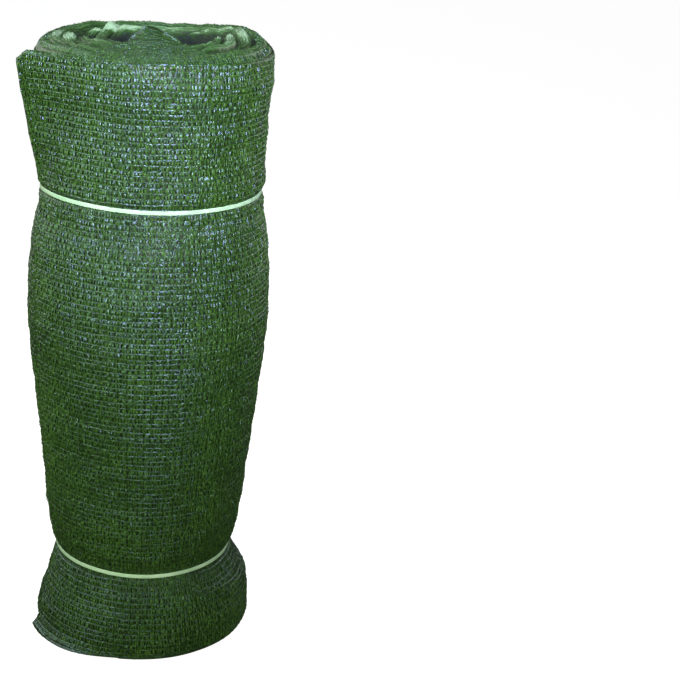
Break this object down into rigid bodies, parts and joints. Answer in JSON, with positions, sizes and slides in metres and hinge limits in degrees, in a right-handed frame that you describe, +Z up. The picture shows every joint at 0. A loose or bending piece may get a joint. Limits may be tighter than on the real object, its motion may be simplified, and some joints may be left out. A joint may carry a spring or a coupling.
{
  "type": "folded shade netting",
  "caption": "Roll of green knitted shade netting, folded lengthways, standing on end with a loose end and held by flat ties.",
  "frame": {"origin": "on the roll's axis, at the flat foot that it stands on", "axes": "+Z up along the roll's axis; -Y is the front, where the root of the loose end is; the loose end runs round towards -X"},
  "size_m": [0.3947, 0.3892, 1.0118],
  "materials": {
    "netting": "knitted polyethylene tape, slightly glossy",
    "tie": "flat polypropylene strap, satin"
  },
  "bodies": {
    "root": {"roll": "netting", "loose_end": "netting", "upper_tie": "tie", "lower_tie": "tie"}
  },
  "joints": []
}
